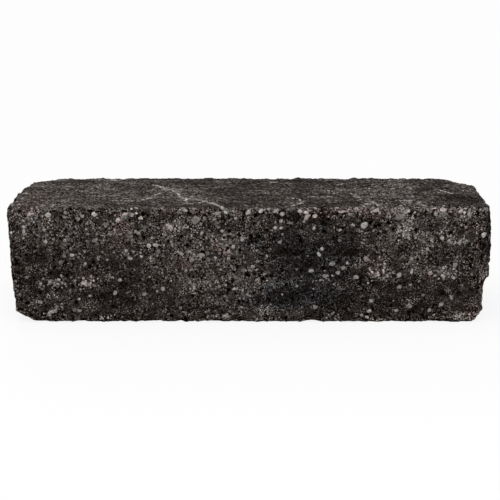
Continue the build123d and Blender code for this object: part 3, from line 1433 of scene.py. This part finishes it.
@dataclass
class ExposedStones:
    """A set of stones that tumbling laid bare, each sunk in the block and nearly flush with it."""

    name: str
    pebbles: list[Pebble]
    finish: StoneFinish
    rounding: int = 2
    proud: float = 0.13
    sunk: float = 0.45
    lumpiness: float = 0.5
    lump_length: float = 1.0 / 2.2
    facets: int = 5
    facet_reach: Span = (0.3, 0.48)

    def build(self) -> bpy.types.Object:
        """Repeats one pebble, then shapes each copy into a stone of its own.

        Returns:
            The finished piece.
        """
        shape = bmesh.new()
        bmesh.ops.create_icosphere(shape, subdivisions=self.rounding, radius=0.5)
        stones = add_object(self.name, mesh_of(shape, self.name))
        settle(stones, "ARRAY", count=len(self.pebbles), use_relative_offset=False)
        copies = read_vectors(stones.data, "co").reshape(len(self.pebbles), -1, 3)
        caps = np.maximum(2.0 * copies[:, :, 2], 0.0)
        colours = np.ones((*copies.shape[:2], 4))
        for pebble, points, colour in zip(self.pebbles, copies, colours):
            points[:] = self.shaped(pebble, points)
            colour[:, :3] = pebble.colour
        stones.data.vertices.foreach_set("co", copies.ravel())
        tint = stones.data.attributes.new(self.finish.tint_mark, "FLOAT_COLOR", "POINT")
        tint.data.foreach_set("color", colours.ravel())
        cap = stones.data.attributes.new(self.finish.cap_mark, "FLOAT", "POINT")
        cap.data.foreach_set("value", caps.ravel())
        self.dress(stones)
        return stones

    def shaped(self, pebble: Pebble, points: np.ndarray) -> np.ndarray:
        """Makes a ball into one stone: lumpy, flat-capped, set into the surface, and not under the bed.

        Args:
            pebble: The stone.
            points: The ball's vertices.

        Returns:
            The stone's vertices.
        """
        lumps = Waves(self.lump_length, 1, pebble.phase).at(points)
        flat = points[:, :2] * (1.0 + self.lumpiness * lumps)[:, None]
        draw = np.random.default_rng(int(1000 * pebble.phase))
        for angle in draw.uniform(0.0, 2.0 * math.pi, self.facets):
            outward = np.array((math.cos(angle), math.sin(angle)))
            beyond = np.maximum(flat @ outward - draw.uniform(*self.facet_reach), 0.0)
            flat -= beyond[:, None] * outward
        thick = np.where(points[:, 2] > 0.0, self.proud, self.sunk) * pebble.breadth
        local = np.column_stack((flat * (pebble.length, pebble.breadth), 2.0 * points[:, 2] * thick))
        out = pebble.outward
        along = Vector((1.0, 0.0, 0.0)) if abs(out.x) < 0.7 else Vector((0.0, 1.0, 0.0))
        along = (along - out * along.dot(out)).normalized()
        axes = Matrix((along, out.cross(along), out)).transposed() @ Matrix.Rotation(pebble.turn, 3, "Z")
        seated = local @ np.array(axes.transposed()) + np.array(pebble.place)
        seated[:, 2] = np.maximum(seated[:, 2], 0.0)
        return seated

    def dress(self, stones: bpy.types.Object) -> None:
        """Gives the stones their finish and seats them in the frame.

        Args:
            stones: The piece.
        """
        stones.data.update()
        stones.data.shade_smooth()
        stones.data.materials.append(self.finish.material())
        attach(stones, "root")


@dataclass(frozen=True)
class SoftLamp:
    """A softbox: its name, where it hangs, its width in metres and its power in watts."""

    name: str
    place: Lengths
    width: float
    power: float


@dataclass
class Studio:
    """The floor, the lamps and the white surroundings."""

    floor_finish: FloorFinish
    floor_side: float = 60.0
    sky: float = 0.55
    sky_tint: Colour = (1.0, 1.0, 1.0)
    aim: Lengths = (0.0, 0.0, 0.08)
    lamps: tuple[SoftLamp, ...] = (
        SoftLamp("overhead_softbox", (-0.25, -0.35, 1.7), 1.6, 19.0),
        SoftLamp("front_softbox", (0.7, -2.0, 1.1), 1.4, 22.0),
        SoftLamp("back_softbox", (-0.7, 2.0, 1.1), 1.4, 16.0),
    )

    def build(self) -> bpy.types.Object:
        """Makes the floor, the lamps and the surroundings.

        Returns:
            The floor.
        """
        shape = bmesh.new()
        bmesh.ops.create_grid(shape, x_segments=1, y_segments=1, size=self.floor_side / 2)
        floor = add_object("studio_floor", mesh_of(shape, "studio_floor"))
        floor.data.materials.append(self.floor_finish.material())
        for lamp in self.lamps:
            self.hang(lamp)
        self.surround()
        return floor

    def hang(self, lamp: SoftLamp) -> None:
        """Hangs one softbox, turned towards the block.

        Args:
            lamp: The softbox.
        """
        made = add_object(lamp.name, bpy.data.lights.new(lamp.name, "AREA"))
        made.data.size = lamp.width
        made.data.energy = lamp.power
        turn = (Vector(self.aim) - Vector(lamp.place)).to_track_quat("-Z", "Y")
        made.matrix_world = Matrix.Translation(lamp.place) @ turn.to_matrix().to_4x4()

    def surround(self) -> None:
        """Sets the soft light from all round, and a white surround for the camera."""
        sheet = ShaderSheet(bpy.data.worlds.new("studio"))
        light = sheet.node("Background", {"Color": self.sky_tint, "Strength": self.sky}).outputs[0]
        white = sheet.node("Background", {"Color": self.floor_finish.white}).outputs[0]
        both = sheet.node("MixShader", {0: sheet.in_sight(), 1: light, 2: white}).outputs[0]
        bpy.context.scene.world = sheet.finish(both, "OutputWorld")


def report(piece: bpy.types.Object) -> None:
    """Logs a piece and how many triangles it has."""
    piece.data.calc_loop_triangles()
    LOG.info("%s: %d triangles", piece.name, len(piece.data.loop_triangles))


def main() -> None:
    """Builds the pieces in order."""
    logging.basicConfig(level=logging.INFO, format="%(name)s %(message)s")
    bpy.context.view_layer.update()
    bpy.context.scene.view_settings.view_transform = "Standard"
    camera = PhotoCamera()
    camera.build()
    block = TumbledBlock(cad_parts["edging_block"], camera, ConcreteFinish()).build()
    report(block)
    picker = StonePicker(block, camera)
    shown = picker.show_stones() + picker.hidden_stones()
    small = picker.small_stones(shown) + picker.crumbs() + picker.scratch_grains()
    clean_stone = StoneFinish("ground_stones", cover=0.5)
    report(ExposedStones("large_stones", shown, clean_stone, lumpiness=0.35).build())
    report(ExposedStones("small_stones", small, StoneFinish()).build())
    Studio(FloorFinish()).build()


if __name__ == "__main__":
    main()
